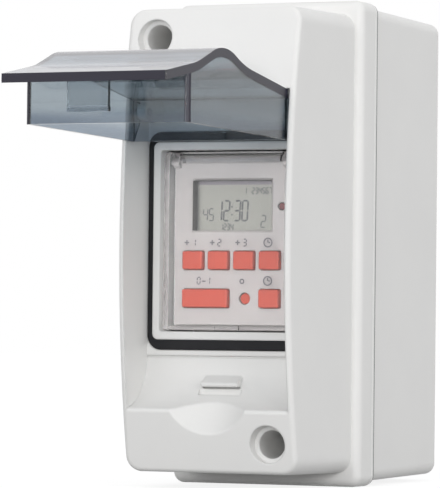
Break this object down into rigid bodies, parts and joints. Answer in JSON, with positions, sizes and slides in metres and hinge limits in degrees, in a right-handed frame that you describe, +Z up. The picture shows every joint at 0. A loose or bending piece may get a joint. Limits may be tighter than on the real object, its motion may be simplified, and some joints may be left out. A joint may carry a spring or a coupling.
{
  "type": "digital timer switch",
  "caption": "Rail-mounted digital timer behind a clear flip cover, in a small pale wall box with a hinged smoked window lid.",
  "frame": {"origin": "centre of the flat face that lies on the wall, level with the middle of the box", "axes": "+Z up, +Y into the wall, +X to the right for someone who faces the wall; the front looks along -Y"},
  "size_m": [0.0516, 0.1599, 0.1214],
  "materials": {
    "box_plastic": "fine satin moulding",
    "black_rubber": "matt rubber",
    "smoked_plastic": "clear smoked polycarbonate",
    "steel": "bright zinc",
    "zinc_steel": "zinc plated sheet",
    "timer_plastic": "satin moulding",
    "clip_plastic": "satin moulding",
    "face_plastic": "fine satin moulding",
    "clear_plastic": "clear polystyrene",
    "display_glass": "reflective liquid crystal glass",
    "dark_plastic": "satin moulding",
    "grey_rubber": "silicone rubber",
    "circuit_board": "solder mask",
    "lamp_plastic": "clear red resin",
    "cell_steel": "nickel plated",
    "terminal_brass": "plated brass",
    "relay_plastic": "gloss moulding",
    "capacitor_plastic": "gloss moulding",
    "key_plastic": "satin moulding"
  },
  "bodies": {
    "enclosure": {"back_box": "box_plastic", "front_cover": "box_plastic", "box_seal": "black_rubber", "window_gasket": "black_rubber", "lid_hinge_pins": "steel", "cover_screws": "steel", "din_rail": "zinc_steel", "rail_screws": "steel", "timer_housing": "timer_plastic", "timer_bezel": "face_plastic", "lcd_glass": "display_glass", "display_holder": "dark_plastic", "contact_strips": "black_rubber", "keypad": "grey_rubber", "display_board": "circuit_board", "led_lens": "lamp_plastic", "power_board": "circuit_board", "backup_cell": "cell_steel", "link_board": "circuit_board", "terminal_clamps": "terminal_brass", "terminal_screws": "steel", "relay": "relay_plastic", "mains_capacitor": "capacitor_plastic"},
    "lid": {"smoked_lid": "smoked_plastic"},
    "flip_cover": {"timer_flip_cover": "clear_plastic"},
    "clip": {"rail_clip": "clip_plastic"},
    "key_minute": {"button_minute": "key_plastic"},
    "key_hour": {"button_hour": "key_plastic"},
    "key_day": {"button_day": "key_plastic"},
    "key_program": {"button_program": "key_plastic"},
    "key_manual": {"button_manual": "key_plastic"},
    "key_clock": {"button_clock": "key_plastic"},
    "key_reset": {"button_reset": "key_plastic"}
  },
  "joints": [
    {"name": "lid_hinge", "type": "hinge", "parent": "enclosure", "child": "lid", "pos_m": [0, -0.0884, 0.0315], "axis": [-1, 0, 0], "range_deg": [-91.1, 0]},
    {"name": "flip_hinge", "type": "hinge", "parent": "enclosure", "child": "flip_cover", "pos_m": [0, -0.0767, 0.0195], "axis": [-1, 0, 0], "range_deg": [0, 85]},
    {"name": "clip_slide", "type": "slide", "parent": "enclosure", "child": "clip", "axis": [0, 0, 1], "range_m": [-0.003, 0], "stiffness_N_per_m": 1500, "springref_m": 0.002},
    {"name": "minute_press", "type": "slide", "parent": "enclosure", "child": "key_minute", "axis": [0, 1, 0], "range_m": [0, 0.0006], "stiffness_N_per_m": 400, "springref_m": -0.002},
    {"name": "hour_press", "type": "slide", "parent": "enclosure", "child": "key_hour", "axis": [0, 1, 0], "range_m": [0, 0.0006], "stiffness_N_per_m": 400, "springref_m": -0.002},
    {"name": "day_press", "type": "slide", "parent": "enclosure", "child": "key_day", "axis": [0, 1, 0], "range_m": [0, 0.0006], "stiffness_N_per_m": 400, "springref_m": -0.002},
    {"name": "program_press", "type": "slide", "parent": "enclosure", "child": "key_program", "axis": [0, 1, 0], "range_m": [0, 0.0006], "stiffness_N_per_m": 400, "springref_m": -0.002},
    {"name": "manual_press", "type": "slide", "parent": "enclosure", "child": "key_manual", "axis": [0, 1, 0], "range_m": [0, 0.0006], "stiffness_N_per_m": 400, "springref_m": -0.002},
    {"name": "clock_press", "type": "slide", "parent": "enclosure", "child": "key_clock", "axis": [0, 1, 0], "range_m": [0, 0.0006], "stiffness_N_per_m": 400, "springref_m": -0.002},
    {"name": "reset_press", "type": "slide", "parent": "enclosure", "child": "key_reset", "axis": [0, 1, 0], "range_m": [0, 0.0006], "stiffness_N_per_m": 400, "springref_m": -0.002}
  ]
}
